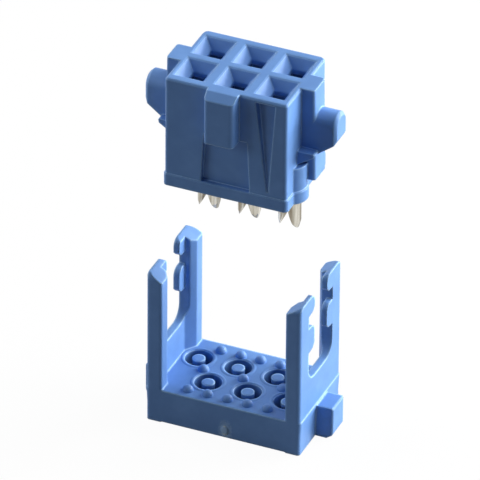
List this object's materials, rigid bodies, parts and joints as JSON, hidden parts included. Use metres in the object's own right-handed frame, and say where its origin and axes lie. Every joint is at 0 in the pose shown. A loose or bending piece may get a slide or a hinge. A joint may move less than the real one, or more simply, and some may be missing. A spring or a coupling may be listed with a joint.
{
  "type": "rectangular cable connector",
  "caption": "Blue moulded socket housing for tab contacts in two rows, with its wire cover shown taken off below it; split barrels of the contacts cut into wires.",
  "frame": {"origin": "middle of the wire cover's flat foot", "axes": "+Z along the closing axis, from the cover towards the housing's mating rim; +X along the contact rows; the key rail faces -Y"},
  "size_m": [0.0238, 0.0134, 0.047],
  "materials": {
    "blue_plastic": "moulded, fine satin",
    "tinned_contact": "matt tin plate over a stamped copper alloy strip"
  },
  "bodies": {
    "root": {"housing": "blue_plastic", "cover": "blue_plastic", "contact_1": "tinned_contact", "contact_2": "tinned_contact", "contact_3": "tinned_contact", "contact_4": "tinned_contact", "contact_5": "tinned_contact", "contact_6": "tinned_contact"}
  },
  "joints": []
}
